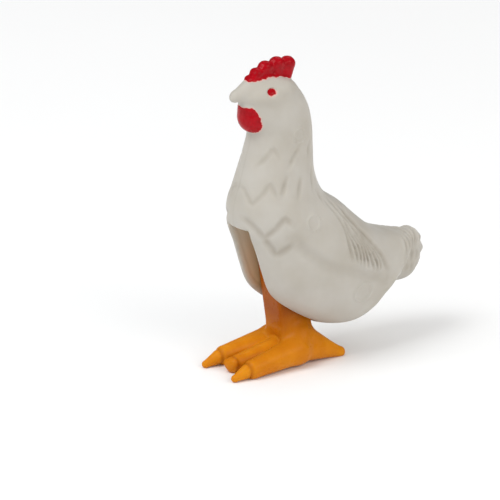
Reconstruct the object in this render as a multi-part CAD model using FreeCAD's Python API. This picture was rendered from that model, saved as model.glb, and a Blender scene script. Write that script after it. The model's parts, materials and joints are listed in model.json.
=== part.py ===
"""Small moulded toy hen: two hollow half shells that tip forward on one legs-and-feet moulding.

All sizes are in millimetres. The hen faces -Y, its left side is +X and +Z is up. While the pieces are made, the
origin is on the hip axis, so both shells and the upper legs are drawn from there, and only the feet are drawn from
the sole. At the end everything moves so that the origin is the middle of the object's box, on the surface that it
stands on.
"""

import FreeCAD
import Part

import math
import os

# Hip hinge: round trunnions on the legs turn in blind bosses inside the shells.
HIP_HEIGHT = 15.5
TRUNNION_R = 1.5
TRUNNION_LENGTH = 1.7
TRUNNION_CLEARANCE = 0.05
TRUNNION_END_GAP = 0.3
BOSS_WALL = 1.2

# Shells.
WALL = 1.2
SLOT_HALF_WIDTH = 2.5
SLOT_TOP_Z = 6.3
SLOT_REAR_GAP = 0.35
SLOT_WALL = 1.0
SLOT_WALL_PAST_HUB = 0.5

# Body sections from the crown to the tail, each square to the mid-plane:
# front or lower point (y, z), back or upper point (y, z), half width, fullness (1 is an ellipse, less is squarer).
BODY_SECTIONS = [
    ((-5.2, 28.5), (-1.9, 28.1), 1.1, 1.0),
    ((-7.0, 27.4), (0.3, 26.8), 2.6, 1.0),
    ((-7.7, 25.7), (1.9, 24.9), 3.5, 1.0),
    ((-7.5, 23.1), (3.0, 22.6), 3.9, 1.0),
    ((-6.4, 19.9), (3.5, 19.8), 4.0, 1.0),
    ((-7.3, 16.4), (3.6, 16.6), 4.3, 1.0),
    ((-8.4, 12.7), (3.7, 13.1), 5.1, 1.0),
    ((-9.4, 9.4), (5.0, 9.8), 6.0, 0.95),
    ((-9.3, 6.3), (8.0, 7.4), 6.6, 0.9),
    ((-8.0, 2.9), (10.9, 4.6), 7.1, 0.85),
    ((-6.8, -0.6), (13.0, 2.8), 7.3, 0.8),
    ((-5.2, -4.1), (14.9, 1.7), 7.3, 0.75),
    ((-1.4, -7.3), (16.6, 1.0), 7.0, 0.7),
    ((3.4, -10.1), (18.1, 0.5), 6.4, 0.68),
    ((8.7, -11.0), (19.3, 0.1), 5.9, 0.62),
    ((12.9, -9.3), (20.3, 0.0), 4.8, 0.66),
    ((14.5, -7.7), (20.8, 0.0), 3.9, 0.7),
    ((16.2, -7.6), (21.2, 0.0), 3.3, 0.75),
    ((19.8, -7.0), (21.8, 0.0), 2.9, 0.7),
    ((21.9, -5.0), (22.3, -1.0), 1.8, 0.7),
]
FIRST_HOLLOW_SECTION = 3
LAST_HOLLOW_SECTION = 16
POINTS_ROUND_HALF_SECTION = 13

# Beak: a round cone that runs into the front of the head.
BEAK_TIP = (-9.5, 26.1)
BEAK_ROOT = (-5.4, 25.9)
BEAK_TIP_R = 0.55
BEAK_ROOT_R = 2.1

# Comb: a plate on the crown with round lobes along its top: (y, z, radius) of each lobe.
COMB_THICKNESS = 1.7
COMB_LOBES = [(-5.6, 28.1, 1.1), (-4.1, 28.9, 1.3), (-2.5, 29.3, 1.4), (-0.7, 29.2, 1.5)]
COMB_FOOT_Z = 26.0

# Wattle: one round lobe under the beak: centre (y, z) and half sizes.
WATTLE_CENTRE = (-6.5, 22.4)
WATTLE_HALF_DEPTH = 2.0
WATTLE_HALF_HEIGHT = 2.7
WATTLE_HALF_WIDTH = 2.3

# Locating pins on the left shell and sockets in the right shell: (y, z) of each.
LOCATING_PINS = [(-1.7, 18.5), (10.2, -0.9), (15.6, -2.9)]
PIN_R = 0.7
PIN_LENGTH = 1.3
PIN_CLEARANCE = 0.05
PIN_END_GAP = 0.3
PIN_BOSS_R = 1.5

# Legs: a hub in the slot and a column tapering down from it. The two waists and the shank's top are measured from
# the hip axis, and the feet from the sole.
HUB_R = 4.0
HUB_SIDE_GAP = 0.3
COLUMN_FRONT_Y = -2.6
COLUMN_REAR_Y = 2.65
COLUMN_WAIST_Z = -7.5
COLUMN_REAR_WAIST_Z = -9.9
FOOT_X = 3.6
SHANK_TOP = (0.9, 0.3, -10.3)
SHANK_TOP_R = 1.65
ANKLE = (2.9, -0.6, 2.3)
ANKLE_R = 2.2
LIMB_STEP = 0.15
KNUCKLE_Y = -8.8
KNUCKLE_R = 1.45
KNUCKLE_SINK = 0.2
CLAW_TIP_Y = -12.3
CLAW_TIP_R = 0.55
CALF = (2.1, 1.0, 3.9)
CALF_R = 1.95
CALF_SETBACK = 0.25
HEEL_X = 3.1
HEEL_Y = 7.6
HEEL_TIP_R = 0.6
HEEL_SINK = 0.1
MIDDLE_TOE_ROOT = (-0.4, 2.0)
MIDDLE_TOE_ROOT_R = 2.05
MIDDLE_TOE_Y = -10.6
MIDDLE_TOE_R = 1.25

# The column is made this much too long, and the sole's flat cut takes it off.
SOLE_ALLOWANCE = 1.0

# Half-space boxes are this big, well past the object on every side.
BEYOND = 80.0


def point(x, y, z):
    """A point in space."""
    return FreeCAD.Vector(x, y, z)


X_AXIS = point(1, 0, 0)


def above_sole(x, y, height):
    """A point in space, with its height measured from the sole."""
    return point(x, y, height - HIP_HEIGHT)


def left_half_space():
    """A box that holds everything on the hen's left of the mid-plane."""
    return Part.makeBox(BEYOND, 2 * BEYOND, 2 * BEYOND, point(0, -BEYOND, -BEYOND))


def above_the_floor():
    """A box that holds everything above the surface that the hen stands on."""
    return Part.makeBox(2 * BEYOND, 2 * BEYOND, 2 * BEYOND, point(-BEYOND, -BEYOND, -HIP_HEIGHT))


def mirrored(shape):
    """The shape's mirror image in the mid-plane."""
    return shape.mirror(point(0, 0, 0), X_AXIS)


def cross_cylinder(y, z, radius, start_x, length):
    """A cylinder along X."""
    return Part.makeCylinder(radius, length, point(start_x, y, z), X_AXIS)


def section_points(section, inset):
    """Points round the left half of one body section, from its front point to its back point."""
    front, back, half_width, fullness = section
    low = point(0, front[0], front[1])
    high = point(0, back[0], back[1])
    centre = (low + high) * 0.5
    along = (high - low).normalize()
    reach = (high - low).Length / 2 - inset
    points = [centre - along * reach]
    for step in range(1, POINTS_ROUND_HALF_SECTION - 1):
        angle = math.pi * step / (POINTS_ROUND_HALF_SECTION - 1)
        sideways = X_AXIS * ((half_width - inset) * math.sin(angle) ** fullness)
        points.append(centre - along * (reach * math.cos(angle)) + sideways)
    points.append(centre + along * reach)
    return points


def edge_between(face, start, end):
    """The face's edge that joins two of its corners."""
    for edge in face.Edges:
        ends = [vertex.Point for vertex in edge.Vertexes]
        if any((ends[0] - a).Length + (ends[-1] - b).Length < 1e-4 for a, b in ((start, end), (end, start))):
            return edge
    raise ValueError("the skin has no such edge")


def flat_face(edges):
    """The flat face inside a ring of edges."""
    return Part.Face(Part.Wire(Part.__sortEdges__(edges)))


def half_body(sections, inset=0.0):
    """The left half of the smooth solid through the sections, drawn in by inset."""
    rows = [section_points(section, inset) for section in sections]
    surface = Part.BSplineSurface()
    surface.interpolate(rows)
    skin = surface.toShape()
    crown, tail = rows[0], rows[-1]
    crown_line = Part.makeLine(crown[0], crown[-1])
    tail_line = Part.makeLine(tail[0], tail[-1])
    front_edge = edge_between(skin, crown[0], tail[0])
    back_edge = edge_between(skin, crown[-1], tail[-1])
    faces = [
        skin,
        flat_face([edge_between(skin, crown[0], crown[-1]), crown_line]),
        flat_face([edge_between(skin, tail[0], tail[-1]), tail_line]),
        flat_face([front_edge, tail_line, back_edge, crown_line]),
    ]
    shell = Part.makeShell(faces)
    shell.sewShape()
    solid = Part.makeSolid(shell)
    if solid.Volume < 0:
        solid.reverse()
    return solid


def ball(centre, radius):
    """A solid ball."""
    return Part.makeSphere(radius, centre)


def tapered_rod(start, start_radius, end, end_radius):
    """A round-ended taper, turned as one profile: two ball ends and the cone that touches both."""
    span = end - start
    axis = point(span.x, span.y, span.z).normalize()
    across = axis.cross(X_AXIS if abs(axis.x) < 0.9 else point(0, 0, 1)).normalize()
    touch = math.acos((start_radius - end_radius) / span.Length)

    def rim(centre, radius, angle):
        return centre + axis * (radius * math.cos(angle)) + across * (radius * math.sin(angle))

    outline = []
    for centre, radius, first, last in ((start, start_radius, math.pi, touch), (end, end_radius, touch, 0.0)):
        middle = (first + last) / 2
        outline.append([rim(centre, radius, angle) for angle in (first, middle, last)])
    edges = [Part.Arc(*points).toShape() for points in outline]
    edges.insert(1, Part.makeLine(outline[0][2], outline[1][0]))
    edges.append(Part.makeLine(outline[1][2], outline[0][0]))
    return Part.Face(Part.Wire(edges)).revolve(start, axis, 360)


def beak():
    """The whole beak, both sides."""
    root = point(0, BEAK_ROOT[0], BEAK_ROOT[1])
    tip = point(0, BEAK_TIP[0], BEAK_TIP[1])
    return tapered_rod(root, BEAK_ROOT_R, tip, BEAK_TIP_R)


def comb():
    """The whole comb: round lobes with a foot under each, which runs down into the head."""
    start_x = -COMB_THICKNESS / 2
    lobes = []
    for y, z, radius in COMB_LOBES:
        lobes.append(cross_cylinder(y, z, radius, start_x, COMB_THICKNESS))
        foot = Part.makeBox(COMB_THICKNESS, 2 * radius, z - COMB_FOOT_Z, point(start_x, y - radius, COMB_FOOT_Z))
        lobes.append(foot)
    return lobes[0].fuse(lobes[1:])


def wattle():
    """The whole wattle, a ball stretched to its three half sizes."""
    stretch = FreeCAD.Matrix()
    stretch.scale(WATTLE_HALF_WIDTH, WATTLE_HALF_DEPTH, WATTLE_HALF_HEIGHT)
    lobe = ball(point(0, 0, 0), 1.0).transformGeometry(stretch)
    lobe.translate(point(0, WATTLE_CENTRE[0], WATTLE_CENTRE[1]))
    return lobe


def leg_slot():
    """The opening from the breast down and back under the belly, which the legs swing through."""
    length = COLUMN_REAR_Y + SLOT_REAR_GAP + BEYOND
    corner = point(-SLOT_HALF_WIDTH, -BEYOND, -BEYOND)
    return Part.makeBox(2 * SLOT_HALF_WIDTH, length, BEYOND + SLOT_TOP_Z, corner)


def slot_side_wall():
    """The wall inside the shell that shuts the hollow off from the slot."""
    length = HUB_R + SLOT_WALL_PAST_HUB + BEYOND
    corner = point(SLOT_HALF_WIDTH, -BEYOND, -BEYOND)
    return Part.makeBox(SLOT_WALL, length, BEYOND + SLOT_TOP_Z + SLOT_WALL, corner)


def boss_to_wall(outer, y, z, radius, start_x):
    """A round boss that reaches from start_x out into the shell's wall."""
    return cross_cylinder(y, z, radius, start_x, BEYOND).common(outer)


def half_shell():
    """The left shell without its locating pins."""
    half_space = left_half_space()
    outer = half_body(BODY_SECTIONS)
    hollow = half_body(BODY_SECTIONS[FIRST_HOLLOW_SECTION:LAST_HOLLOW_SECTION + 1], WALL)
    bearing_r = TRUNNION_R + TRUNNION_CLEARANCE
    boss = boss_to_wall(outer, 0, 0, bearing_r + BOSS_WALL, SLOT_HALF_WIDTH)
    pin_bosses = [boss_to_wall(outer, y, z, PIN_BOSS_R, 0) for y, z in LOCATING_PINS]
    shell = outer.cut(hollow)
    shell = shell.fuse([feature.common(half_space) for feature in (beak(), comb(), wattle())])
    shell = shell.cut(leg_slot())
    shell = shell.fuse([slot_side_wall().common(outer), boss] + pin_bosses)
    bearing = cross_cylinder(0, 0, bearing_r, 0, SLOT_HALF_WIDTH + TRUNNION_LENGTH + TRUNNION_END_GAP)
    return shell.cut(bearing)


def left_body_shell():
    """The near shell, with its locating pins standing out past the mid-plane."""
    pins = [cross_cylinder(y, z, PIN_R, -PIN_LENGTH, PIN_LENGTH + PIN_R) for y, z in LOCATING_PINS]
    return half_shell().fuse(pins)


def right_body_shell():
    """The far shell, with a socket for each locating pin."""
    depth = PIN_LENGTH + PIN_END_GAP
    sockets = [cross_cylinder(y, z, PIN_R + PIN_CLEARANCE, -depth, depth) for y, z in LOCATING_PINS]
    return mirrored(half_shell()).cut(sockets)


def column():
    """The hub and the column under it, as thick as the slot allows, running down and back to the heels."""
    half_width = SLOT_HALF_WIDTH - HUB_SIDE_GAP
    sole_z = -HIP_HEIGHT
    outline = [
        (-HUB_R, 0),
        (COLUMN_FRONT_Y, COLUMN_WAIST_Z),
        (COLUMN_FRONT_Y, sole_z - SOLE_ALLOWANCE),
        (HEEL_Y - HEEL_TIP_R, sole_z - SOLE_ALLOWANCE),
        (HEEL_Y - HEEL_TIP_R, sole_z),
        (COLUMN_REAR_Y, COLUMN_REAR_WAIST_Z),
        (COLUMN_REAR_Y, COLUMN_WAIST_Z),
        (HUB_R, 0),
        (-HUB_R, 0),
    ]
    face = Part.Face(Part.makePolygon([point(-half_width, y, z) for y, z in outline]))
    plate = face.extrude(X_AXIS * (2 * half_width))
    hub = cross_cylinder(0, 0, HUB_R, -half_width, 2 * half_width)
    reach = SLOT_HALF_WIDTH + TRUNNION_LENGTH
    trunnions = cross_cylinder(0, 0, TRUNNION_R, -reach, 2 * reach)
    return plate.fuse([hub, trunnions])


def foot(side):
    """One foot on side 1 or -1: shank, ankle, clawed toe, heel and the calf that runs down to it."""
    shank = point(side * SHANK_TOP[0], SHANK_TOP[1], SHANK_TOP[2])
    ankle = above_sole(side * ANKLE[0], ANKLE[1], ANKLE[2])
    knuckle = above_sole(side * FOOT_X, KNUCKLE_Y, KNUCKLE_R - KNUCKLE_SINK)
    claw = above_sole(side * FOOT_X, CLAW_TIP_Y + CLAW_TIP_R, CLAW_TIP_R)
    calf = above_sole(side * CALF[0], CALF[1], CALF[2])
    heel = above_sole(side * HEEL_X, HEEL_Y - HEEL_TIP_R, HEEL_TIP_R - HEEL_SINK)
    return [
        ball(ankle, ANKLE_R),
        tapered_rod(ankle, ANKLE_R - LIMB_STEP, shank, SHANK_TOP_R),
        tapered_rod(ankle, ANKLE_R - LIMB_STEP, knuckle, KNUCKLE_R),
        tapered_rod(knuckle, KNUCKLE_R - LIMB_STEP, claw, CLAW_TIP_R),
        tapered_rod(ankle, ANKLE_R - 2 * LIMB_STEP, heel, HEEL_TIP_R),
        tapered_rod(calf, CALF_R, heel + point(0, -CALF_SETBACK, CALF_SETBACK), HEEL_TIP_R),
    ]


def middle_toe():
    """The blunt toe between the feet."""
    root = above_sole(0, MIDDLE_TOE_ROOT[0], MIDDLE_TOE_ROOT[1])
    tip = above_sole(0, MIDDLE_TOE_Y + MIDDLE_TOE_R, MIDDLE_TOE_R - KNUCKLE_SINK)
    return tapered_rod(root, MIDDLE_TOE_ROOT_R, tip, MIDDLE_TOE_R)


def legs():
    """The legs-and-feet moulding, one solid with a flat sole."""
    floor = above_the_floor()
    whole = column().common(floor)
    for feature in foot(1) + foot(-1) + [middle_toe()]:
        whole = whole.fuse(feature.common(floor))
    return whole


def main():
    """Makes each piece, moves all of them to the object's own origin and writes one file for each."""
    pieces = {
        "left_body_shell": left_body_shell(),
        "right_body_shell": right_body_shell(),
        "legs": legs(),
    }
    boxes = [shape.optimalBoundingBox(False) for shape in pieces.values()]
    middle_y = (min(box.YMin for box in boxes) + max(box.YMax for box in boxes)) / 2
    os.makedirs("parts", exist_ok=True)
    for name, shape in pieces.items():
        shape.translate(point(0, -middle_y, HIP_HEIGHT))
        shape.exportStep(f"parts/{name}.step")
        print(name, len(shape.Solids), shape.isValid(), round(shape.Volume, 1), shape.BoundBox)


main()
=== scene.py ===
"""Looks of a small moulded hen: two painted white half shells that tip forward on one orange moulding.

Shapes are worked out in millimetres, with Y measured from the hip axis and Z from the sole, and every mesh
is made in metres in the object's own frame. The hen faces -Y and its left side is +X.
"""

import json
import logging
import math
from dataclasses import dataclass, field
from enum import Enum

import bpy
import numpy as np
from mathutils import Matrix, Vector

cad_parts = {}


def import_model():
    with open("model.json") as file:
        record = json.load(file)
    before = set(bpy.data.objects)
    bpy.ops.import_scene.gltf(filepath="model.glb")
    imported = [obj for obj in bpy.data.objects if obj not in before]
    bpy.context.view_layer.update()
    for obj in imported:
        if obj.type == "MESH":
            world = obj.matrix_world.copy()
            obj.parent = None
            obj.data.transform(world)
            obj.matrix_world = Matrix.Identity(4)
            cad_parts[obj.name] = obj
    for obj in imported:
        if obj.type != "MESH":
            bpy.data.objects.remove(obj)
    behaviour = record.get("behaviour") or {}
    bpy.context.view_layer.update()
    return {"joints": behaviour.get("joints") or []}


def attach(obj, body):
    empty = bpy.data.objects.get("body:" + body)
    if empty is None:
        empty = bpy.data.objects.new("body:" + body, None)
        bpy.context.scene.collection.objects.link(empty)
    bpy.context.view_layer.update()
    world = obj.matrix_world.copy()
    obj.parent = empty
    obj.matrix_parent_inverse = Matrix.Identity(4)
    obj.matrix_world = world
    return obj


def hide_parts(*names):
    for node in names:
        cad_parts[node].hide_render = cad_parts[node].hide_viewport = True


LOG = logging.getLogger("hen")
MM = 0.001
FAR = 50.0
SHARP_DEGREES = 50.0
PLASTIC_IOR = 1.46
GLOW_SCALE = 0.6
PICTURE_MIDDLE = (-7.416, -6.348, 14.565)

Array = np.ndarray
Place = tuple[float, float, float]
Outline = list[tuple[float, float]]
Ball = tuple[Place, Place]
Colour = tuple[float, float, float, float]
Socket = bpy.types.NodeSocket


class Side(Enum):
    """The two shells, by the sign of their X."""

    LEFT = 1
    RIGHT = -1


class Slot(Enum):
    """Material slots of the record."""

    WHITE = "white_plastic"
    ORANGE = "orange_plastic"


# ---- Solid shapes as distance fields ----


def smooth_union(first: Array, second: Array, blend: float) -> Array:
    """Join two distance fields with a rounded inner corner.

    Args:
        first: distances to one solid.
        second: distances to the other solid.
        blend: width of the rounded corner.

    Returns:
        Distances to the joined solid.
    """
    share = np.clip(0.5 + 0.5 * (second - first) / blend, 0.0, 1.0)
    return second * (1 - share) + first * share - blend * share * (1 - share)


def smooth_common(first: Array, second: Array, blend: float) -> Array:
    """Keep what two distance fields share, with a rounded outer corner.

    Args:
        first: distances to one solid.
        second: distances to the other solid.
        blend: width of the rounded corner.

    Returns:
        Distances to the shared solid.
    """
    return -smooth_union(-first, -second, blend)


def ellipsoid(space: "Space", centre: Place, radii: Place) -> Array:
    """Distances to a ball stretched to three half sizes.

    Args:
        space: the sample points.
        centre: its middle.
        radii: its half sizes along the three axes.

    Returns:
        Distances, close to true near the skin.
    """
    offsets = [axis - middle for axis, middle in zip(space.axes(), centre)]
    near = np.sqrt(sum((offset / radius) ** 2 for offset, radius in zip(offsets, radii)))
    steep = np.sqrt(sum((offset / radius**2) ** 2 for offset, radius in zip(offsets, radii)))
    return near * (near - 1) / np.maximum(steep, 1e-4)


def round_cone(space: "Space", start: Place, start_radius: float, end: Place, end_radius: float) -> Array:
    """Distances to two balls and the taper between them.

    Args:
        space: the sample points.
        start: centre of the first ball.
        start_radius: radius of the first ball.
        end: centre of the second ball.
        end_radius: radius of the second ball.

    Returns:
        Distances.
    """
    along = [second - first for first, second in zip(start, end)]
    length = math.sqrt(sum(value * value for value in along))
    unit = [value / length for value in along]
    offsets = [axis - value for axis, value in zip(space.axes(), start)]
    run = sum(offset * value for offset, value in zip(offsets, unit))
    square = sum(offset * offset for offset in offsets)
    out = np.sqrt(np.maximum(square - run * run, 0.0))
    slope = (start_radius - end_radius) / length
    rise = math.sqrt(max(1 - slope * slope, 0.0))
    share = np.clip((run + out * slope / rise) / length, 0.0, 1.0)
    radius = start_radius + (end_radius - start_radius) * share
    return np.hypot(run - share * length, out) - radius


def cross_rod(space: "Space", y: float, z: float, radius: float, low_x: float, high_x: float) -> Array:
    """Distances to a round rod along X.

    Args:
        space: the sample points.
        y: place of its axis.
        z: height of its axis.
        radius: its radius.
        low_x: where it starts.
        high_x: where it ends.

    Returns:
        Distances.
    """
    ends = np.abs(space.x - (low_x + high_x) / 2) - (high_x - low_x) / 2
    return np.maximum(np.hypot(space.y - y, space.z - z) - radius, ends)


def along_path(space: "Space", path: Array) -> Array:
    """Distances from every sample point to a line of straight runs.

    Args:
        space: the sample points.
        path: the points that the line passes through.

    Returns:
        Distances.
    """
    best = np.full(np.broadcast_shapes(space.x.shape, space.y.shape, space.z.shape), FAR)
    for start, end in zip(path[:-1], path[1:]):
        run = end - start
        offsets = [axis - value for axis, value in zip(space.axes(), start)]
        share = sum(offset * value for offset, value in zip(offsets, run)) / max(float(run @ run), 1e-9)
        share = np.clip(share, 0.0, 1.0)
        square = sum((offset - share * value) ** 2 for offset, value in zip(offsets, run))
        best = np.minimum(best, np.sqrt(square))
    return best


@dataclass
class Space:
    """Sample points: three arrays that broadcast against each other, in millimetres."""

    x: Array
    y: Array
    z: Array

    def axes(self) -> tuple[Array, Array, Array]:
        """The three arrays in order."""
        return self.x, self.y, self.z

    def away_from(self, place: Array) -> Array:
        """Distances to one place."""
        return np.sqrt(sum((values - middle) ** 2 for values, middle in zip(self.axes(), place)))


@dataclass
class Block:
    """A box of evenly spaced sample points."""

    low: Place
    high: Place
    step: float

    def lines(self) -> list[Array]:
        """The places of the samples along each axis."""
        counts = [int(math.ceil((high - low) / self.step)) + 1 for low, high in zip(self.low, self.high)]
        return [low + self.step * np.arange(count) for low, count in zip(self.low, counts)]

    def space(self) -> Space:
        """All the sample points."""
        x, y, z = self.lines()
        return Space(x[:, None, None], y[None, :, None], z[None, None, :])

    def near(self, field_values: Array, reach: float) -> tuple[Array, Space]:
        """The samples close to a skin.

        Args:
            field_values: distances on the block.
            reach: how far from the skin counts as close.

        Returns:
            Which samples those are, and their places.
        """
        mask = np.abs(field_values) < reach
        found = np.nonzero(mask)
        places = [line[index] for line, index in zip(self.lines(), found)]
        return mask, Space(*places)

    def skin(self, values: Array) -> tuple[Array, Array]:
        """Mesh of the surface where the distances pass through zero.

        Args:
            values: distances on the block, below zero inside.

        Returns:
            Corner places in millimetres, and four-sided faces as corner numbers.
        """
        shape = values.shape
        inside = values < 0
        cell_shape = tuple(count - 1 for count in shape)
        totals = np.zeros((int(np.prod(cell_shape)), 3))
        counts = np.zeros(len(totals))
        quads = []
        for axis in range(3):
            lower = [slice(None)] * 3
            upper = [slice(None)] * 3
            lower[axis] = slice(0, -1)
            upper[axis] = slice(1, None)
            crossing = np.nonzero(inside[tuple(lower)] != inside[tuple(upper)])
            index = np.stack(crossing, axis=1)
            first = values[tuple(lower)][crossing]
            second = values[tuple(upper)][crossing]
            place = index.astype(float)
            place[:, axis] += first / (first - second)
            one, two = (axis + 1) % 3, (axis + 2) % 3
            ring = []
            for step_one, step_two in ((-1, -1), (0, -1), (0, 0), (-1, 0)):
                cell = index.copy()
                cell[:, one] += step_one
                cell[:, two] += step_two
                number = np.ravel_multi_index(cell.T, cell_shape, mode="clip")
                ring.append(number)
                for column in range(3):
                    totals[:, column] += np.bincount(number, place[:, column], len(totals))
                counts += np.bincount(number, minlength=len(totals))
            quad = np.stack(ring, axis=1)
            leaving = first < 0
            quads.append(np.where(leaving[:, None], quad, quad[:, ::-1]))
        used = counts > 0
        numbers = np.cumsum(used) - 1
        corners = totals[used] / counts[used][:, None] * self.step + np.array(self.low)
        return corners, numbers[np.concatenate(quads)]


@dataclass
class Grid:
    """Distances kept on a block, which can be read back at any place."""

    block: Block
    values: Array

    def at(self, places: Array) -> Array:
        """Distances at the given places, read between the samples.

        Args:
            places: one place per row, in millimetres.

        Returns:
            One distance per place.
        """
        whole = (places - np.array(self.block.low)) / self.block.step
        top = np.array(self.values.shape) - 1.001
        whole = np.clip(whole, 0, top)
        base = whole.astype(int)
        share = whole - base
        total = np.zeros(len(places))
        for corner in range(8):
            bits = np.array([corner & 1, corner >> 1 & 1, corner >> 2 & 1])
            weight = np.prod(np.where(bits, share, 1 - share), axis=1)
            total += weight * self.values[tuple((base + bits).T)]
        return total


def add_object(name: str, data: bpy.types.ID) -> bpy.types.Object:
    """Put new data in the scene.

    Args:
        name: the object's name.
        data: its mesh, light or camera.

    Returns:
        The new object.
    """
    made = bpy.data.objects.new(name, data)
    bpy.context.scene.collection.objects.link(made)
    return made


def mesh_object(
    name: str, corners: Array, faces: Array, hip: Vector, layers: dict[str, Array]
) -> bpy.types.Object:
    """Make a smooth-shaded Blender mesh from millimetre places.

    Args:
        name: the piece's name.
        corners: corner places in millimetres, from the hip axis and the sole.
        faces: four-sided faces as corner numbers.
        hip: the hip axis in the object's frame, in metres.
        layers: named numbers kept at each corner.

    Returns:
        The new object.
    """
    mesh = bpy.data.meshes.new(name)
    places = corners * MM + np.array([hip.x, hip.y, 0.0])
    mesh.vertices.add(len(places))
    mesh.vertices.foreach_set("co", places.astype(np.float32).ravel())
    mesh.loops.add(faces.size)
    mesh.loops.foreach_set("vertex_index", faces.astype(np.int32).ravel())
    mesh.polygons.add(len(faces))
    mesh.polygons.foreach_set("loop_start", np.arange(0, faces.size, 4, dtype=np.int32))
    mesh.update(calc_edges=True)
    mesh.polygons.foreach_set("use_smooth", np.ones(len(faces), bool))
    for layer, values in layers.items():
        attribute = mesh.attributes.new(layer, "FLOAT", "POINT")
        attribute.data.foreach_set("value", values.astype(np.float32))
    mesh.validate()
    mesh.set_sharp_from_angle(angle=math.radians(SHARP_DEGREES))
    return add_object(name, mesh)


# ---- Finishes ----


class Shader:
    """A node material that is built up step by step."""

    def __init__(self, name: str) -> None:
        """Start with an empty principled material.

        Args:
            name: the material's name.
        """
        self.material = bpy.data.materials.new(name)
        self.material.use_nodes = True
        self.tree = self.material.node_tree
        self.body = self.tree.nodes["Principled BSDF"]
        self.places = self.tree.nodes.new("ShaderNodeTexCoord").outputs["Object"]

    def node(self, kind: str, **settings: object) -> bpy.types.Node:
        """Add a node and set its properties.

        Args:
            kind: the node's type name.
            settings: property values by name.

        Returns:
            The node.
        """
        made = self.tree.nodes.new(kind)
        for name, value in settings.items():
            setattr(made, name, value)
        return made

    def link(self, source: Socket, target: Socket) -> None:
        """Join two sockets."""
        self.tree.links.new(source, target)

    def noise(self, per_mm: float, detail: float, roughness: float = 0.5) -> Socket:
        """A noise pattern fixed to the piece.

        Args:
            per_mm: patches per millimetre.
            detail: how many finer layers it has.
            roughness: how strong the finer layers are.

        Returns:
            The noise value's socket.
        """
        made = self.node("ShaderNodeTexNoise")
        made.inputs["Scale"].default_value = per_mm / MM
        made.inputs["Detail"].default_value = detail
        made.inputs["Roughness"].default_value = roughness
        self.link(self.places, made.inputs["Vector"])
        return made.outputs["Fac"]

    def layer(self, name: str) -> Socket:
        """The numbers kept at the mesh's corners under a name."""
        return self.node("ShaderNodeAttribute", attribute_name=name).outputs["Fac"]

    def ramp(
        self, source: Socket, low: float, high: float, start: float = 0.0, end: float = 1.0
    ) -> Socket:
        """Stretch a value from one span to another, held at its ends.

        Args:
            source: the value.
            low: source value that gives start.
            high: source value that gives end.
            start: result at low.
            end: result at high.

        Returns:
            The new value's socket.
        """
        made = self.node("ShaderNodeMapRange", clamp=True)
        for name, value in (("From Min", low), ("From Max", high), ("To Min", start), ("To Max", end)):
            made.inputs[name].default_value = value
        self.link(source, made.inputs["Value"])
        return made.outputs["Result"]

    def sum(self, first: Socket, second: Socket, share: float) -> Socket:
        """The first value plus a share of the second.

        Args:
            first: a value.
            second: another value.
            share: how much of the second is added.

        Returns:
            The new value's socket.
        """
        made = self.node("ShaderNodeMath", operation="MULTIPLY_ADD")
        self.link(second, made.inputs[0])
        made.inputs[1].default_value = share
        self.link(first, made.inputs[2])
        return made.outputs[0]

    def blend(
        self,
        share: Socket,
        first: Colour | Socket,
        second: Colour | Socket,
    ) -> Socket:
        """Mix two colours.

        Args:
            share: how much of the second shows.
            first: a colour or a colour socket.
            second: a colour or a colour socket.

        Returns:
            The mixed colour's socket.
        """
        made = self.node("ShaderNodeMix", data_type="RGBA")
        self.link(share, made.inputs[0])
        for value, socket in ((first, made.inputs[6]), (second, made.inputs[7])):
            if isinstance(value, tuple):
                socket.default_value = value
            else:
                self.link(value, socket)
        return made.outputs[2]

    def bump(self, height: Socket, depth: float, under: Socket | None = None) -> Socket:
        """Tilt the surface with a fine height pattern.

        Args:
            height: the pattern.
            depth: its full depth in millimetres.
            under: a bump to lay this one over.

        Returns:
            The normal's socket.
        """
        made = self.node("ShaderNodeBump")
        made.inputs["Distance"].default_value = depth * MM
        self.link(height, made.inputs["Height"])
        if under is not None:
            self.link(under, made.inputs["Normal"])
        return made.outputs["Normal"]

    def moulded(self, weight: float, radii: Place, specular: float) -> None:
        """Set how light sinks into moulded plastic and glances off it.

        Args:
            weight: how much of the light sinks in.
            radii: how far its red, green and blue spread.
            specular: strength of the glancing light.
        """
        for name, value in (
            ("Subsurface Weight", weight),
            ("Subsurface Radius", radii),
            ("Subsurface Scale", GLOW_SCALE * MM),
            ("IOR", PLASTIC_IOR),
            ("Specular IOR Level", specular),
        ):
            self.body.inputs[name].default_value = value


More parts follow.
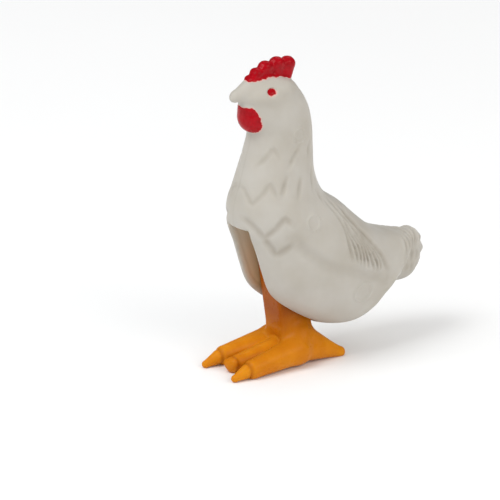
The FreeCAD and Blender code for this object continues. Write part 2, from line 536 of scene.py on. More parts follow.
@dataclass(frozen=True)
class PaintedPlastic:
    """Satin warm-white plastic with hand-dabbed glossy red paint."""

    light: Colour = (0.505, 0.478, 0.432, 1.0)
    shade: Colour = (0.460, 0.428, 0.374, 1.0)
    # groove: the colour of the painted shade in the feather grooves, between the tail ribs and along the
    # seam
    groove: Colour = (0.37, 0.332, 0.277, 1.0)
    # mouth and inner: painted light near the slot's mouth that fades to a brown painted shade deep in the
    # hollow
    painted_mouth_light: Colour = (0.90, 0.82, 0.68, 1.0)
    inner: Colour = (0.58, 0.37, 0.17, 1.0)
    paint: Colour = (0.40, 0.004, 0.010, 1.0)
    paint_thick: Colour = (0.30, 0.003, 0.007, 1.0)
    paint_rim: Colour = (0.70, 0.40, 0.36, 1.0)
    plastic_gloss: float = 0.40
    paint_gloss: float = 0.17
    glow: float = 0.12
    glow_radii: Place = (1.0, 0.8, 0.6)
    specular: float = 0.15

    def build(self) -> bpy.types.Material:
        """Make the node material.

        Returns:
            The material.
        """
        made = Shader("painted_white_plastic")
        clouds = made.noise(0.16, 3.0)
        colour = made.blend(made.ramp(clouds, 0.38, 0.66), self.light, self.shade)
        # Painted shade: the groove layer darkens the colour in the grooves, the rib gaps and along the
        # seam
        colour = made.blend(made.ramp(made.layer("groove"), 0.04, 0.34), colour, self.groove)
        # Painted light and shade on the inner walls: bright near the slot's mouth, brown deeper in
        painted_wall_light_and_shade = made.blend(made.layer("deep"), self.painted_mouth_light, self.inner)
        colour = made.blend(made.layer("inner"), colour, painted_wall_light_and_shade)
        ragged = made.sum(made.layer("paint"), made.noise(1.6, 3.0, 0.6), 0.5)
        rim = made.ramp(ragged, 0.35, 0.28)
        cover = made.ramp(ragged, 0.28, 0.22)
        streaks = made.noise(0.9, 4.0, 0.65)
        red = made.blend(made.ramp(streaks, 0.40, 0.70), self.paint, self.paint_thick)
        colour = made.blend(rim, colour, self.paint_rim)
        colour = made.blend(cover, colour, red)
        made.link(colour, made.body.inputs["Base Color"])
        satin = made.noise(0.5, 3.0)
        satin = made.ramp(satin, 0.3, 0.7, self.plastic_gloss - 0.05, self.plastic_gloss + 0.07)
        wet = made.ramp(streaks, 0.3, 0.7, self.paint_gloss - 0.06, self.paint_gloss + 0.12)
        gloss = made.node("ShaderNodeMix", data_type="FLOAT")
        made.link(cover, gloss.inputs[0])
        made.link(satin, gloss.inputs[2])
        made.link(wet, gloss.inputs[3])
        made.link(gloss.outputs[0], made.body.inputs["Roughness"])
        skin = made.bump(made.noise(5.0, 2.0), 0.012)
        strokes = made.bump(made.noise(1.7, 3.0, 0.6), 0.06, skin)
        choice = made.node("ShaderNodeMix", data_type="VECTOR")
        made.link(cover, choice.inputs[0])
        made.link(skin, choice.inputs[4])
        made.link(strokes, choice.inputs[5])
        made.link(choice.outputs[1], made.body.inputs["Normal"])
        made.moulded(self.glow, self.glow_radii, self.specular)
        return made.material


@dataclass(frozen=True)
class OrangePlastic:
    """Smooth burnt-orange moulded plastic."""

    light: Colour = (0.70, 0.255, 0.009, 1.0)
    shade: Colour = (0.58, 0.185, 0.006, 1.0)
    # crease: the colour of the painted shade under the body and at the claw roots
    painted_shade_colour: Colour = (0.25, 0.042, 0.001, 1.0)
    gloss: float = 0.28
    glow: float = 0.10
    glow_radii: Place = (1.0, 0.4, 0.1)
    specular: float = 0.10

    def build(self) -> bpy.types.Material:
        """Make the node material.

        Returns:
            The material.
        """
        made = Shader("orange_plastic")
        clouds = made.noise(0.22, 4.0)
        colour = made.blend(made.ramp(clouds, 0.35, 0.65), self.light, self.shade)
        # Painted shade: the groove layer darkens the legs under the body and at the claw roots
        colour = made.blend(made.ramp(made.layer("groove"), 0.0, 0.25), colour, self.painted_shade_colour)
        made.link(colour, made.body.inputs["Base Color"])
        scuffs = made.ramp(made.noise(1.1, 4.0, 0.6), 0.3, 0.7, self.gloss - 0.07, self.gloss + 0.12)
        made.link(scuffs, made.body.inputs["Roughness"])
        made.link(made.bump(made.noise(3.2, 2.0), 0.016), made.body.inputs["Normal"])
        made.moulded(self.glow, self.glow_radii, self.specular)
        return made.material


@dataclass(frozen=True)
class PaleTable:
    """The matt white surface that the hen stands on."""

    light: Colour = (0.93, 0.93, 0.93, 1.0)
    shade: Colour = (0.92, 0.92, 0.92, 1.0)
    roughness: float = 0.9

    def build(self) -> bpy.types.Material:
        """Make the node material.

        Returns:
            The material.
        """
        made = Shader("pale_table")
        colour = made.blend(made.ramp(made.noise(0.02, 2.0), 0.3, 0.7), self.light, self.shade)
        made.link(colour, made.body.inputs["Base Color"])
        made.body.inputs["Roughness"].default_value = self.roughness
        return made.material


# ---- Body shells ----


@dataclass
class BodySections:
    """The smooth body as flat sections from crown to tail, each square to the mid-plane."""

    rows: list[tuple[tuple[float, float], tuple[float, float], float, float]] = field(
        default_factory=lambda: [
            ((-5.2, 28.5), (-1.9, 28.1), 1.1, 1.0),
            ((-7.0, 27.4), (0.3, 26.8), 2.6, 1.0),
            ((-7.7, 25.7), (1.9, 24.9), 3.5, 1.0),
            ((-7.5, 23.1), (3.0, 22.6), 3.9, 1.0),
            ((-6.4, 19.9), (3.5, 19.8), 4.0, 1.0),
            ((-7.3, 16.4), (3.6, 16.6), 4.3, 1.0),
            ((-8.4, 12.7), (3.7, 13.1), 5.1, 1.0),
            ((-9.4, 9.4), (5.0, 9.8), 6.0, 0.95),
            ((-9.3, 6.3), (8.0, 7.4), 6.6, 0.9),
            ((-8.0, 2.9), (10.9, 4.6), 7.1, 0.85),
            ((-6.8, -0.6), (13.0, 2.8), 7.3, 0.8),
            ((-5.2, -4.1), (14.9, 1.7), 7.3, 0.75),
            ((-1.4, -7.3), (16.6, 1.0), 7.0, 0.7),
            ((3.4, -10.1), (18.1, 0.5), 6.4, 0.68),
            ((8.7, -11.0), (19.3, 0.1), 5.9, 0.62),
            ((12.9, -9.3), (20.3, 0.0), 4.25, 0.75),
            ((14.4, -7.7), (20.8, 0.0), 3.35, 0.85),
            ((16.0, -7.2), (21.2, 0.0), 3.0, 0.8),
            ((19.8, -7.0), (21.8, 0.0), 2.9, 0.7),
            ((21.9, -5.0), (22.3, -1.0), 1.8, 0.7),
        ]
    )
    between: int = 24
    crown_round: float = 0.25
    tail_round: float = 0.5

    def stations(self, hip_height: float) -> Array:
        """Close-set stations through the sections.

        Args:
            hip_height: height of the hip axis above the sole.

        Returns:
            One row per station: front y and z, back y and z, half width and fullness.
        """
        table = np.array([[*front, *back, width, fullness] for front, back, width, fullness in self.rows])
        table[:, [1, 3]] += hip_height
        padded = np.vstack([2 * table[0] - table[1], table, 2 * table[-1] - table[-2]])
        made = []
        for index in range(len(table) - 1):
            before, start, end, after = padded[index:index + 4]
            for share in np.arange(self.between) / self.between:
                made.append(
                    0.5 * (
                        2 * start
                        + (end - before) * share
                        + (2 * before - 5 * start + 4 * end - after) * share**2
                        + (3 * start - before - 3 * end + after) * share**3
                    )
                )
        made.append(table[-1])
        return np.array(made)

    def distances(self, block: Block, hip_height: float) -> tuple[Array, Array]:
        """Distances to the smooth body, and how far along it each place lies.

        Args:
            block: the sample points.
            hip_height: height of the hip axis above the sole.

        Returns:
            Distances on the block, and section numbers on its side view.
        """
        lines = block.lines()
        y, z = np.meshgrid(lines[1], lines[2], indexing="ij")
        stations = self.stations(hip_height)
        reach = np.full(y.shape, FAR)
        along = np.zeros(y.shape)
        beyond = np.zeros(y.shape)
        previous = None
        for number, (front_y, front_z, back_y, back_z, _, _) in enumerate(stations):
            run_y, run_z = (back_y - front_y) / 2, (back_z - front_z) / 2
            half = math.hypot(run_y, run_z)
            off_y, off_z = y - (front_y + back_y) / 2, z - (front_z + back_z) / 2
            across = (run_y * off_z - run_z * off_y) / half
            share = (run_y * off_y + run_z * off_z) / half**2
            if previous is None:
                above = across > 0
                reach[above], beyond[above] = share[above], across[above] / self.crown_round
            else:
                last_across, last_share = previous
                inside = (last_across > 0) != (across > 0)
                part = last_across / np.where(inside, last_across - across, 1.0)
                found = last_share + (share - last_share) * part
                better = inside & (np.abs(found) < np.abs(reach)) | inside & (beyond > 0)
                reach[better], beyond[better] = found[better], 0.0
                along[better] = (number - 1 + part)[better]
            previous = across, share
        past = (reach == FAR) & (across < 0)
        reach[past], beyond[past] = share[past], -across[past] / self.tail_round
        along[past] = len(stations) - 1
        width = np.interp(along, np.arange(len(stations)), stations[:, 4])
        fullness = np.interp(along, np.arange(len(stations)), stations[:, 5])
        sideways = np.abs(lines[0])[:, None, None] / width[None]
        level = np.sqrt(sideways ** (2 / fullness[None]) + (reach**2 + beyond**2)[None]) - 1
        steep = np.sqrt(sum(slope**2 for slope in np.gradient(level, block.step)))
        return level / np.clip(steep, 0.03, 2.2), along / self.between


class SideSkin:
    """How far out the smooth body's skin lies at each place of the side view."""

    def __init__(self, block: Block, base: Array) -> None:
        """Find the outermost sample inside the body along each line across it.

        Args:
            block: the sample points.
            base: distances to the smooth body.
        """
        self.step = block.step
        self.lines = block.lines()
        across = self.lines[0]
        deep = (base < 0) & (across[:, None, None] >= 0)
        last = np.clip(deep.shape[0] - 1 - np.argmax(deep[::-1], axis=0), 0, None)
        self.reach = np.where(deep.any(axis=0), across[last], 0.0)

    def nearest(self, values: Array, line: Array) -> Array:
        """The numbers of the samples nearest to some values along a line."""
        return np.clip(((values - line[0]) / self.step).round().astype(int), 0, len(line) - 1)

    def at(self, y: Array, z: Array) -> Array:
        """The skin's X at places of the side view."""
        return self.reach[self.nearest(y, self.lines[1]), self.nearest(z, self.lines[2])] + 0.5 * self.step


class Cut(Enum):
    """Whether a stroke goes into the skin or stands up from it."""

    GROOVE = "groove"
    RIB = "rib"


@dataclass
class Stroke:
    """A groove or rib along a line on the body's side, given as side-view places."""

    path: Outline
    width: float = 0.42
    depth: float = 0.22
    cut: Cut = Cut.GROOVE
    fade: float = 0.35
    # tint: how strongly the groove is darkened with painted shade
    tint: float = 1.0

    def points(self, skin: SideSkin) -> Array:
        """The line, divided into short runs and lifted on to the skin.

        Args:
            skin: the smooth body's skin.

        Returns:
            One place per row.
        """
        flat = np.array(self.path, float)
        lengths = np.concatenate([[0.0], np.cumsum(np.hypot(*np.diff(flat, axis=0).T))])
        stops = np.linspace(0.0, lengths[-1], max(3, int(lengths[-1] / 0.5) + 1))
        y = np.interp(stops, lengths, flat[:, 0])
        z = np.interp(stops, lengths, flat[:, 1])
        return np.stack([skin.at(y, z), y, z], axis=1)

    def press(self, near: Space, skin: SideSkin) -> tuple[Array, Array]:
        """How far the stroke moves the skin.

        Args:
            near: samples near the skin.
            skin: the smooth body's skin.

        Returns:
            Which samples are close to the stroke, and its depth at those.
        """
        path = self.points(skin)
        close = np.ones(len(near.x), bool)
        for axis, values in enumerate(near.axes()):
            low, high = path[:, axis].min() - 3 * self.width, path[:, axis].max() + 3 * self.width
            close &= (values > low) & (values < high)
        some = Space(*[values[close] for values in near.axes()])
        away = along_path(some, path)
        ends = np.minimum(some.away_from(path[0]), some.away_from(path[-1]))
        taper = 0.25 + 0.75 * np.clip(ends / max(self.fade * 3, 1e-3), 0.0, 1.0)
        return close, self.depth * taper * np.exp(-((away / self.width) ** 2) * 1.6)


@dataclass(frozen=True)
class RibRow:
    """A row of short upright ribs: where it starts, how the ribs stand and how many there are."""

    first_y: float
    height: float
    length: float
    spacing: float
    lean: float
    count: int


@dataclass
class PlumageStrokes:
    """The moulded feather lines of one side."""

    wing_feathers: int = 8
    tail_rows: tuple[RibRow, ...] = (
        RibRow(17.2, 14.6, 2.0, 0.80, -0.95, 6),
        RibRow(16.3, 12.6, 1.6, 0.92, -0.35, 6),
        RibRow(16.3, 10.8, 1.2, 0.92, -0.05, 5),
    )

    def neck(self) -> list[Stroke]:
        """Zigzag hackle feathers of the neck and breast."""
        return [
            Stroke([(-6.9, 31.1), (-4.7, 33.7), (-4.1, 32.2)], 0.50, 0.20),
            Stroke([(-0.7, 33.7), (-3.0, 30.8)], 0.50, 0.22),
            Stroke([(-8.5, 28.2), (-8.3, 25.9), (-5.8, 28.7), (-5.2, 26.8)], 0.52, 0.20),
            Stroke([(-3.4, 29.7), (-4.7, 26.8)], 0.45, 0.26),
            Stroke([(-0.9, 29.3), (-2.1, 26.4)], 0.45, 0.26),
            Stroke([(1.4, 33.7), (0.8, 31.5)], 0.42, 0.24),
            Stroke([(1.5, 29.9), (1.1, 26.8)], 0.45, 0.24),
            Stroke([(2.0, 26.6), (2.9, 24.6)], 0.45, 0.20),
            Stroke([(-9.2, 23.9), (-7.1, 21.0), (-4.6, 23.9), (-3.4, 22.8)], 0.62, 0.26),
        ]

    def wing_edge(self) -> list[Stroke]:
        """The wing's soft lower edge."""
        edge = [
            (-7.3, 21.2), (-5.5, 18.3), (-3.2, 20.2), (-1.4, 18.4), (1.2, 16.3),
            (3.9, 14.9), (6.7, 13.9), (9.5, 12.6), (12.6, 11.7),
        ]
        return [Stroke(edge[:3], 0.70, 0.30), Stroke(edge[2:], 1.15, 0.50, tint=0.30)]

    def wing(self) -> list[Stroke]:
        """Long waving grooves that fan down to the wing's tips, with ridges between them at the tips.

        Returns:
            The strokes.
        """
        made = []
        last = self.wing_feathers - 1
        for number in range(self.wing_feathers):
            share = number / last
            grooves = self.feather(share, 0.22 if number % 2 else 0.0, 1.0)
            made.append(Stroke(grooves, 0.34, 0.30 + 0.12 * share))
            if number < last:
                ridge = self.feather(share + 0.5 / last, 0.52, 1.03)
                made.append(Stroke(ridge, 0.36, 0.34, Cut.RIB, 0.2))
        rear = [(6.3, 22.9), (7.7, 20.9), (9.1, 19.2), (10.8, 17.1), (12.3, 14.9), (13.2, 12.7)]
        made.append(Stroke(rear, 0.50, 0.42))
        made.append(Stroke([(4.4, 24.6), (5.9, 22.2), (7.4, 20.4)], 0.34, 0.26))
        made.append(Stroke([(3.2, 24.9), (4.6, 22.6), (5.6, 20.6)], 0.30, 0.16))
        return made

    def feather(self, share: float, start: float, end: float) -> Outline:
        """A gently waving line down the wing.

        Args:
            share: which line, from 0 at the wing's middle to 1 at its rear edge.
            start: where on the line to start, from 0 at its top to 1 at its tip.
            end: where on the line to stop.

        Returns:
            Side-view places.
        """
        top = (4.7 + 4.1 * share, 22.6 - 3.3 * share)
        tip = (6.3 + 5.4 * share, 15.6 - 2.9 * share)
        path = []
        for stop in np.linspace(start, end, 9):
            bow = 0.55 * 4 * stop * (1 - stop)
            wave = 0.14 * math.sin(stop * 7.0 + share * 9.0)
            y = top[0] * (1 - stop) + tip[0] * stop + bow * (0.55 + 0.35 * share) + wave
            z = top[1] * (1 - stop) + tip[1] * stop + bow * 0.5
            path.append((y, z))
        return path

    def tail(self) -> list[Stroke]:
        """Rows of short upright ribs on the tail.

        Returns:
            The strokes.
        """
        made = []
        for row in self.tail_rows:
            for number in range(row.count):
                y = row.first_y + row.spacing * number
                up, lean = row.length / 2, row.lean / 2
                rib = [(y - lean, row.height + up), (y + lean, row.height - up)]
                gap = [(place[0] + row.spacing / 2, place[1]) for place in rib]
                made.append(Stroke(rib, 0.32, 0.26, Cut.RIB))
                # The gaps between the ribs get the strongest painted shade
                made.append(Stroke(gap, 0.28, 0.14, tint=1.8))
        return made

    def everything(self) -> list[Stroke]:
        """All the strokes of one side."""
        return self.neck() + self.wing_edge() + self.wing() + self.tail()


@dataclass
class Bulge:
    """A soft swelling or hollow on the side, given in the side view."""

    y: float
    z: float
    reach: float
    height: float


@dataclass
class EjectorMark:
    """A round witness mark: a flat disc edged by a fine ring."""

    y: float
    z: float
    radius: float
    ring: float = 0.16
    height: float = 0.20


@dataclass
class HenShells:
    """Both half shells: head, comb, wattle, feathers, hollow, slot, hip bearings and locating pins."""

    hip: Vector
    hip_height: float
    sections: BodySections = field(default_factory=BodySections)
    plumage: PlumageStrokes = field(default_factory=PlumageStrokes)
    step: float = 0.176
    wall: float = 1.2
    slot_half_width: float = 2.5
    slot_rear: float = 3.0
    slot_top: float = 21.8
    slot_rounding: float = 0.45
    slot_wall: float = 1.0
    slot_wall_rear: float = 4.5
    bearing_radius: float = 1.55
    bearing_end: float = 4.5
    boss_radius: float = 2.75
    pins: tuple[tuple[float, float], ...] = ((-1.7, 34.0), (10.2, 14.6), (15.6, 12.6))
    pin_radius: float = 0.7
    pin_length: float = 1.3
    socket_radius: float = 0.75
    socket_depth: float = 1.6
    pin_boss_radius: float = 1.5
    hollow_from: float = 3.0
    hollow_to: float = 16.0
    comb_lobes: tuple[tuple[float, float, float, float], ...] = (
        (-6.6, 43.4, 0.65, -5.4),
        (-5.5, 44.15, 0.95, -4.6),
        (-3.95, 44.75, 1.20, -3.5),
        (-2.0, 44.95, 1.25, -2.2),
        (-0.15, 44.65, 1.28, -1.2),
    )
    comb_root_z: float = 42.0
    comb_line: tuple[tuple[float, float], ...] = (
        (-7.6, 43.5), (-6.4, 43.6), (-4.2, 43.82), (-1.8, 43.45), (0.2, 42.65),
    )
    comb_half_thickness: float = 0.85
    cheeks: Ball = ((0.0, -3.7, 41.3), (3.6, 4.3, 1.9))
    wattle_lobe: Ball = ((0.0, -6.15, 38.05), (2.3, 2.15, 2.4))
    wattle_root: Ball = ((0.0, -6.6, 39.75), (1.7, 1.65, 1.45))
    wattle_paint: tuple[float, float] = (2.4, 2.3)
    wattle_paint_corner: float = 2.6
    wattle_paint_top: float = 39.9
    wattle_paint_rear: float = -5.9
    under_tail: Ball = ((5.0, 16.9, 7.2), (3.6, 4.15, 2.4))
    under_tail_rounding: float = 0.8
    eye: tuple[float, float] = (-4.80, 42.2)
    eye_half_sizes: tuple[float, float] = (0.68, 0.46)
    eye_lean: float = 0.16
    eye_depth: float = 0.24
    tail_scallop: float = 0.13
    tail_scallop_spacing: float = 1.9
    tail_scallops_from: float = 20.6
    # Painted shade along the seam between the two shells
    painted_seam_shade: float = 0.11
    painted_seam_shade_reach: float = 0.10
    marks: tuple[EjectorMark, ...] = (
        EjectorMark(-0.7, 35.2, 1.05),
        EjectorMark(-0.1, 22.6, 1.1),
        EjectorMark(8.6, 10.2, 1.5),
    )
    bulges: tuple[Bulge, ...] = (
        Bulge(-2.6, 22.4, 2.6, 0.22),
        Bulge(3.2, 19.2, 2.8, 0.20),
        Bulge(-4.4, 30.6, 1.5, 0.12),
        Bulge(-1.8, 12.2, 3.0, 0.15),
        Bulge(5.0, 11.2, 1.3, 0.12),
        Bulge(2.4, 10.4, 1.2, -0.08),
        Bulge(14.3, 15.2, 1.6, -0.22),
        Bulge(5.6, 12.5, 1.0, -0.14),
        Bulge(7.2, 8.6, 1.1, 0.14),
        Bulge(3.4, 13.0, 0.9, 0.12),
        Bulge(10.9, 11.4, 1.2, 0.14),
        Bulge(0.4, 9.4, 1.4, 0.14),
        Bulge(-4.6, 14.6, 1.3, 0.10),
    )

    def block(self) -> Block:
        """The sample points for one shell, from just past the mid-plane outwards."""
        return Block((-1.76, -11.2, 4.4), (7.9, 23.2, 47.0), self.step)

    def comb_plate(self, space: Space) -> Array:
        """Distances in the side view to the comb's lobes and the roots that they grow from.

        Args:
            space: the sample points.

        Returns:
            Distances.
        """
        flat = Space(np.zeros((1, 1, 1)), space.y, space.z)
        plate = None
        for y, z, radius, root_y in self.comb_lobes:
            lobe = round_cone(flat, (0.0, y, z), radius, (0.0, root_y, self.comb_root_z), radius * 0.92)
            plate = lobe if plate is None else smooth_union(plate, lobe, 0.22)
        return plate

    def comb(self, space: Space) -> Array:
        """Distances to the whole comb.

        Args:
            space: the sample points.

        Returns:
            Distances.
        """
        plate = self.comb_plate(space)
        thick = self.comb_half_thickness + 0.05 - 0.07 * (space.z - 43.5)
        solid = smooth_common(plate, np.abs(space.x) - thick, 1.0)
        for y, z, radius, _ in self.comb_lobes:
            for side in Side:
                middle = (side.value * 0.55, y + 0.1, z + 0.25)
                bump = ellipsoid(space, middle, (0.46, radius * 0.6, radius * 0.5))
                solid = smooth_union(solid, bump, 0.5)
        return solid

    def wattle(self, space: Space) -> Array:
        """Distances to the wattle."""
        return smooth_union(ellipsoid(space, *self.wattle_lobe), ellipsoid(space, *self.wattle_root), 0.8)

    def head(self, space: Space, body: Array) -> Array:
        """The body with cheeks, brow and beak joined on.

        Args:
            space: the sample points.
            body: distances to the smooth body.

        Returns:
            Distances.
        """
        beak = round_cone(space, (0.0, -5.4, 41.6), 2.1, (0.0, -9.3, 41.4), 0.64)
        brow = round_cone(space, (0.0, -5.8, 42.7), 1.35, (0.0, -8.7, 41.85), 0.68)
        made = smooth_union(body, ellipsoid(space, *self.cheeks), 0.8)
        made = smooth_union(made, beak, 1.0)
        return smooth_union(made, brow, 1.1)

    def from_eye(self, space: Space) -> Array:
        """How far each place is from the eye's middle in the side view, where 1 is the eye's edge.

        Args:
            space: the sample points.

        Returns:
            Shares of the eye's half size.
        """
        along, up = space.y - self.eye[0], space.z - self.eye[1]
        half_length, half_height = self.eye_half_sizes
        return np.hypot(along / half_length, (up - self.eye_lean * along) / half_height)

    def relief(self, block: Block, skin: Array, base: Array, side: Side) -> tuple[Array, Array]:
        """Cut the feather lines, eye and marks into the skin.

        Args:
            block: the sample points.
            skin: distances to the plain outside.
            base: distances to the smooth body, for lifting lines on to it.
            side: which shell it is.

        Returns:
            Distances with the relief, and the painted groove shade near the skin: groove depth times each
            stroke's tint.
        """
        mask, near = block.near(skin, 0.9)
        side_skin = SideSkin(block, base)
        moved = {cut: np.zeros(len(near.x)) for cut in Cut}
        painted_groove_shade = np.zeros(len(near.x))
        for stroke in self.plumage.everything():
            close, shape = stroke.press(near, side_skin)
            target = moved[stroke.cut]
            target[close] = np.maximum(target[close], shape)
            if stroke.cut is Cut.GROOVE:
                # Painted shade: each groove is darkened by its depth times the stroke's tint
                painted_groove_shade[close] = np.maximum(painted_groove_shade[close], shape * stroke.tint)
        change = moved[Cut.RIB] - moved[Cut.GROOVE]
        for bulge in self.bulges:
            square = (near.y - bulge.y) ** 2 + (near.z - bulge.z) ** 2
            change += bulge.height * np.exp(-square / bulge.reach**2) * (near.x > 1.0)
        if side is Side.LEFT:
            for mark in self.marks:
                away = np.hypot(near.y - mark.y, near.z - mark.z)
                ring = np.exp(-(((away - mark.radius) / mark.ring) ** 2))
                change += mark.height * ring * np.clip(near.x - 2.0, 0.0, 1.0)
        dish = self.from_eye(near) * (1 + FAR * (near.x < 1.0))
        change -= self.eye_depth * np.clip(1.25 - dish, 0.0, 0.35) / 0.35
        change += 0.12 * np.exp(-((dish / 0.5) ** 2)) + 0.05 * np.exp(-(((dish - 1.45) / 0.25) ** 2))
        waves = np.sin((near.z - 10.4) * 2 * math.pi / self.tail_scallop_spacing)
        change += self.tail_scallop * waves * np.clip((near.y - self.tail_scallops_from) / 1.2, 0.0, 1.0)
        carved = skin.copy()
        carved[mask] -= change
        painted_shade_field = np.zeros(skin.shape, np.float32)
        painted_shade_field[mask] = painted_groove_shade
        return carved, painted_shade_field

    def paint(self, space: Space) -> Array:
        """Distances to the painted regions, below zero where the paint is.

        Args:
            space: the sample points.

        Returns:
            Distances.
        """
        line = np.interp(space.y, *zip(*self.comb_line))
        comb = np.maximum(self.comb_plate(space) - 0.25, np.maximum(line - space.z, np.abs(space.x) - 1.9))
        half_width, half_height = self.wattle_paint
        across = (np.abs(space.x) / half_width) ** self.wattle_paint_corner
        up = (np.abs(space.z - self.wattle_lobe[0][2]) / half_height) ** self.wattle_paint_corner
        wattle = ((across + up) ** (1 / self.wattle_paint_corner) - 1) * half_width
        wattle = np.maximum(wattle, space.z - self.wattle_paint_top)
        wattle = np.maximum(wattle, space.y - self.wattle_paint_rear)
        eye = (self.from_eye(space) * 1.03 - 1) * 0.5
        eye = np.where(np.abs(space.x) > 1.0, eye, FAR)
        return np.minimum(np.minimum(comb, wattle), eye)

    def crisp_seam(self, corners: Array, outside: Grid) -> None:
        """Pull the corners along the shells' shared edge on to both the mid-plane and the outer skin.

        Args:
            corners: places on the shell, changed in place.
            outside: distances to the outer skin.
        """
        reach = 0.75 * self.step
        edge = (np.abs(corners[:, 0]) < reach) & (np.abs(outside.at(corners)) < reach)
        corners[edge, 0] = 0.0
        for _ in range(3):
            places = corners[edge]
            away = outside.at(places)
            slopes = []
            for axis in (1, 2):
                nudged = places.copy()
                nudged[:, axis] += self.step / 2
                slopes.append((outside.at(nudged) - away) / (self.step / 2))
            steep = np.maximum(slopes[0] ** 2 + slopes[1] ** 2, 0.1)
            corners[edge, 1] -= np.clip(away * slopes[0] / steep, -reach, reach)
            corners[edge, 2] -= np.clip(away * slopes[1] / steep, -reach, reach)

    def shell(self, side: Side, material: bpy.types.Material) -> bpy.types.Object:
        """Build one half shell.

        Args:
            side: which shell.
            material: its finish.

        Returns:
            The finished piece.
        """
        block = self.block()
        space = block.space()
        base, along = self.sections.distances(block, self.hip_height)
        skin = self.head(space, base)
        skin = smooth_union(skin, self.wattle(space), 0.35)
        skin = smooth_common(skin, -ellipsoid(space, *self.under_tail), self.under_tail_rounding)
        # groove holds the painted shade for the grooves and rib gaps
        skin, groove = self.relief(block, skin, base, side)
        outside = smooth_union(skin, self.comb(space), 0.18)
        kept = ((along > self.hollow_from) & (along < self.hollow_to))[None]
        hollow = np.where(kept, np.maximum(base, outside) + self.wall, FAR)
        lining = np.abs(space.x) - self.slot_half_width - self.slot_wall
        lining = np.maximum(lining, space.y - self.slot_wall_rear)
        lining = np.maximum(lining, space.z - self.slot_top - self.slot_wall)
        lining = np.maximum(lining, self.slot_half_width - np.abs(space.x))
        made = np.minimum(np.maximum(outside, -hollow), np.maximum(lining, outside))
        slot = np.maximum(np.abs(space.x) - self.slot_half_width, space.y - self.slot_rear)
        slot = np.maximum(slot, space.z - self.slot_top)
        made = smooth_common(made, -slot, self.slot_rounding)
        boss = cross_rod(space, 0.0, self.hip_height, self.boss_radius, self.slot_half_width, FAR)
        made = np.minimum(made, np.maximum(boss, outside))
        for y, z in self.pins:
            post = cross_rod(space, y, z, self.pin_boss_radius, 0.0, FAR)
            made = np.minimum(made, np.maximum(post, outside))
        bearing = cross_rod(space, 0.0, self.hip_height, self.bearing_radius, -FAR, self.bearing_end)
        made = np.maximum(made, -bearing)
        made = np.maximum(made, -space.x)
        for y, z in self.pins:
            if side is Side.LEFT:
                pin = cross_rod(space, y, z, self.pin_radius, -self.pin_length, self.pin_length)
                made = np.minimum(made, pin)
            else:
                socket = cross_rod(space, y, z, self.socket_radius, -FAR, self.socket_depth)
                made = np.maximum(made, -socket)
        corners, faces = block.skin(made)
        self.crisp_seam(corners, Grid(block, outside))
        # Painted shade: a faint dark line along the seam, added to the groove layer
        painted_seam_line = self.painted_seam_shade * np.exp(-((corners[:, 0] / self.painted_seam_shade_reach) ** 2))
        layers = {
            "groove": Grid(block, groove).at(corners) + painted_seam_line,
            "paint": Grid(block, self.paint(space)).at(corners),
            # The inner and deep layers place the painted light and shade on the inner walls
            "inner": np.clip((-Grid(block, outside).at(corners) - 0.1) / 0.9, 0.0, 1.0),
            "deep": np.clip((corners[:, 1] + 8.2) / 5.6, 0.0, 1.0),
        }
        layers["paint"] = np.where(layers["inner"] > 0.5, 1.0, layers["paint"])
        if side is Side.RIGHT:
            corners = corners * np.array([-1.0, 1.0, 1.0])
            faces = faces[:, ::-1]
        name = f"hen_{side.name.lower()}_shell"
        piece = mesh_object(name, corners, faces, self.hip, layers)
        piece.data.materials.append(material)
        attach(piece, "body")
        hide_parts(f"{side.name.lower()}_body_shell")
        LOG.info("%s: %d faces", name, len(faces))
        return piece


# ---- Legs ----


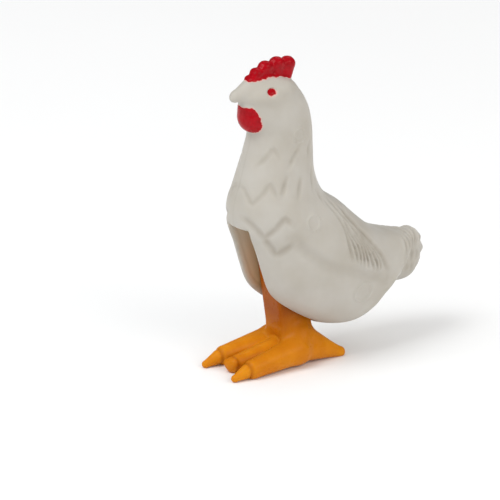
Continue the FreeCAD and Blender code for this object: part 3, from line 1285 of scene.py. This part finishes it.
@dataclass
class HenLegs:
    """The legs moulding: hub with trunnions, column, two shanks, two clawed feet and a middle toe."""

    hip: Vector
    hip_height: float
    step: float = 0.15
    hub_radius: float = 4.0
    plate_half_width: float = 2.2
    trunnion_radius: float = 1.5
    trunnion_end: float = 4.2
    foot_x: float = 3.6
    heel_x: float = 3.1
    claw_root_y: float = -9.45
    claw_root_depth: float = 0.16
    toe_knobs: tuple[tuple[float, float, float, float], ...] = (
        (0.55, -9.6, 1.45, 0.75),
        (-0.6, -9.9, 1.2, 0.7),
        (0.1, -8.6, 1.75, 0.8),
    )

    def plate(self, space: Space) -> Array:
        """Distances to the hub and the column under it.

        Args:
            space: the sample points.

        Returns:
            Distances.
        """
        flat = Space(np.zeros((1, 1, 1)), space.y, space.z)
        upper = round_cone(flat, (0.0, 0.0, self.hip_height), self.hub_radius, (0.0, 0.15, 5.4), 2.62)
        return smooth_common(upper, np.abs(space.x) - self.plate_half_width, 0.5)

    def foot(self, space: Space, side: Side) -> Array:
        """Distances to one foot.

        Args:
            space: the sample points.
            side: which foot.

        Returns:
            Distances.
        """
        out = side.value
        ankle = (out * 2.9, -0.6, 2.3)
        knuckle = (out * self.foot_x, -8.6, 1.25)
        made = round_cone(space, ankle, 2.1, (out * 0.9, 0.3, 5.4), 1.6)
        made = smooth_union(made, round_cone(space, ankle, 2.1, knuckle, 1.42), 0.7)
        made = smooth_union(made, round_cone(space, ankle, 1.9, (out * self.heel_x, 6.9, 0.5), 0.58), 0.5)
        heel = round_cone(space, (out * 2.1, 1.0, 3.9), 1.95, (out * self.heel_x, 6.9, 0.6), 0.6)
        made = smooth_union(made, heel, 0.9)
        claw_tip = (out * (self.foot_x + 0.05), -11.7, 0.52)
        claw = round_cone(space, (out * self.foot_x, -9.75, 1.1), 1.12, claw_tip, 0.58)
        made = smooth_union(made, claw, 0.2)
        ring = np.exp(-(((space.y - self.claw_root_y) / 0.2) ** 2))
        return made + self.claw_root_depth * ring * (space.z > 0.4)

    def build(self, material: bpy.types.Material) -> bpy.types.Object:
        """Build the legs moulding.

        Args:
            material: its finish.

        Returns:
            The finished piece.
        """
        block = Block((-5.55, -12.75, -0.31), (5.55, 8.1, 19.9), self.step)
        space = block.space()
        made = self.plate(space)
        for side in Side:
            made = smooth_union(made, self.foot(space, side), 0.8)
        toe = round_cone(space, (0.0, -0.4, 2.0), 2.0, (0.0, -9.35, 1.05), 1.22)
        for across, along, up, radius in self.toe_knobs:
            knob = ellipsoid(space, (across, along, up), (radius, radius * 0.9, radius))
            toe = smooth_union(toe, knob, 0.18)
        made = smooth_union(made, toe, 0.5)
        end = self.trunnion_end
        made = np.minimum(made, cross_rod(space, 0.0, self.hip_height, self.trunnion_radius, -end, end))
        made = np.maximum(made, -space.z)
        corners, faces = block.skin(made)
        # Painted shade: darker towards the top under the body, and in the crease at each claw's root
        painted_leg_shade = 0.20 * np.clip((corners[:, 2] - 2.6) / 5.5, 0.0, 1.0)
        painted_leg_shade += 0.10 * np.exp(-(((corners[:, 1] - self.claw_root_y) / 0.25) ** 2))
        piece = mesh_object("hen_legs", corners, faces, self.hip, {"groove": painted_leg_shade})
        piece.data.materials.append(material)
        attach(piece, "stand")
        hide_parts("legs")
        LOG.info("hen_legs: %d faces", len(faces))
        return piece


# ---- Studio ----


@dataclass(frozen=True)
class Lamp:
    """A soft square light facing the hen: place in degrees and metres, side, power in watts and tint."""

    name: str
    azimuth: float
    elevation: float
    away: float
    size: float
    power: float
    tint: Place = (1.0, 1.0, 1.0)


@dataclass
class Studio:
    """Pale table, soft lights and the camera."""

    target: Vector
    azimuth: float = 55.0
    elevation: float = 20.0
    lens: float = 1500.0
    width_seen: float = 0.07143
    clip_start: float = 0.01
    floor_half_size: float = 0.6
    sky_strength: float = 0.64
    lamps: tuple[Lamp, ...] = (
        Lamp("key", 0.0, 55.0, 0.45, 0.26, 1.05, (0.96, 0.985, 1.0)),
        Lamp("side", 105.0, 32.0, 0.50, 0.30, 0.70, (1.0, 0.975, 0.935)),
        Lamp("back", 215.0, 45.0, 0.50, 0.30, 0.22),
    )

    def backward(self, azimuth: float, elevation: float) -> Vector:
        """Direction from the hen towards a place round it.

        Args:
            azimuth: angle round the hen in degrees, 0 at its front.
            elevation: angle above the table in degrees.

        Returns:
            A unit vector.
        """
        around, up = math.radians(azimuth), math.radians(elevation)
        return Vector((math.sin(around) * math.cos(up), -math.cos(around) * math.cos(up), math.sin(up)))

    def aimed(
        self, name: str, data: bpy.types.ID, azimuth: float, elevation: float, away: float
    ) -> bpy.types.Object:
        """Place a camera or light so that it faces the hen.

        Args:
            name: the object's name.
            data: the camera or light.
            azimuth: angle round the hen in degrees.
            elevation: angle above the table in degrees.
            away: distance in metres.

        Returns:
            The new object.
        """
        made = add_object(name, data)
        back = self.backward(azimuth, elevation)
        made.location = self.target + back * away
        made.rotation_mode = "QUATERNION"
        made.rotation_quaternion = (-back).to_track_quat("-Z", "Y")
        return made

    def camera(self) -> None:
        """Place the camera."""
        data = bpy.data.cameras.new("camera")
        data.lens = self.lens
        data.clip_start = self.clip_start
        away = self.width_seen * self.lens / data.sensor_width
        bpy.context.scene.camera = self.aimed("camera", data, self.azimuth, self.elevation, away)

    def light(self, lamp: Lamp) -> None:
        """Place one soft light.

        Args:
            lamp: its place, size and power.
        """
        data = bpy.data.lights.new(lamp.name, "AREA")
        data.shape = "SQUARE"
        data.size = lamp.size
        data.energy = lamp.power
        data.color = lamp.tint
        self.aimed(lamp.name, data, lamp.azimuth, lamp.elevation, lamp.away)

    def table(self, material: bpy.types.Material) -> None:
        """Lay the table under the hen.

        Args:
            material: its finish.
        """
        half = self.floor_half_size
        mesh = bpy.data.meshes.new("table")
        corners = [(-half, -half, 0), (half, -half, 0), (half, half, 0), (-half, half, 0)]
        mesh.from_pydata(corners, [], [(0, 1, 2, 3)])
        mesh.materials.append(material)
        add_object("table", mesh)

    def surroundings(self) -> None:
        """Even white light from all round."""
        world = bpy.data.worlds.new("studio")
        world.use_nodes = True
        shade = world.node_tree.nodes["Background"]
        shade.inputs["Color"].default_value = (1.0, 1.0, 1.0, 1.0)
        shade.inputs["Strength"].default_value = self.sky_strength
        world.cycles_visibility.glossy = False
        bpy.context.scene.world = world
        bpy.context.scene.view_settings.view_transform = "Standard"

    def build(self) -> None:
        """Set up everything round the hen."""
        self.camera()
        self.table(PaleTable().build())
        self.surroundings()
        for lamp in self.lamps:
            self.light(lamp)


def main() -> None:
    """Build the hen around its frame and set up the studio."""
    logging.basicConfig(level=logging.INFO, format="%(message)s")
    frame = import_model()
    joint = next(row for row in frame["joints"] if row["name"] == "hip_tilt")
    hip = Vector(joint["pos_m"])
    hip_height = hip.z / MM
    shells = HenShells(hip, hip_height)
    white = PaintedPlastic().build()
    for side in Side:
        shells.shell(side, white)
    HenLegs(hip, hip_height).build(OrangePlastic().build())
    Studio(Vector([value * MM for value in PICTURE_MIDDLE])).build()


if __name__ == "__main__":
    main()
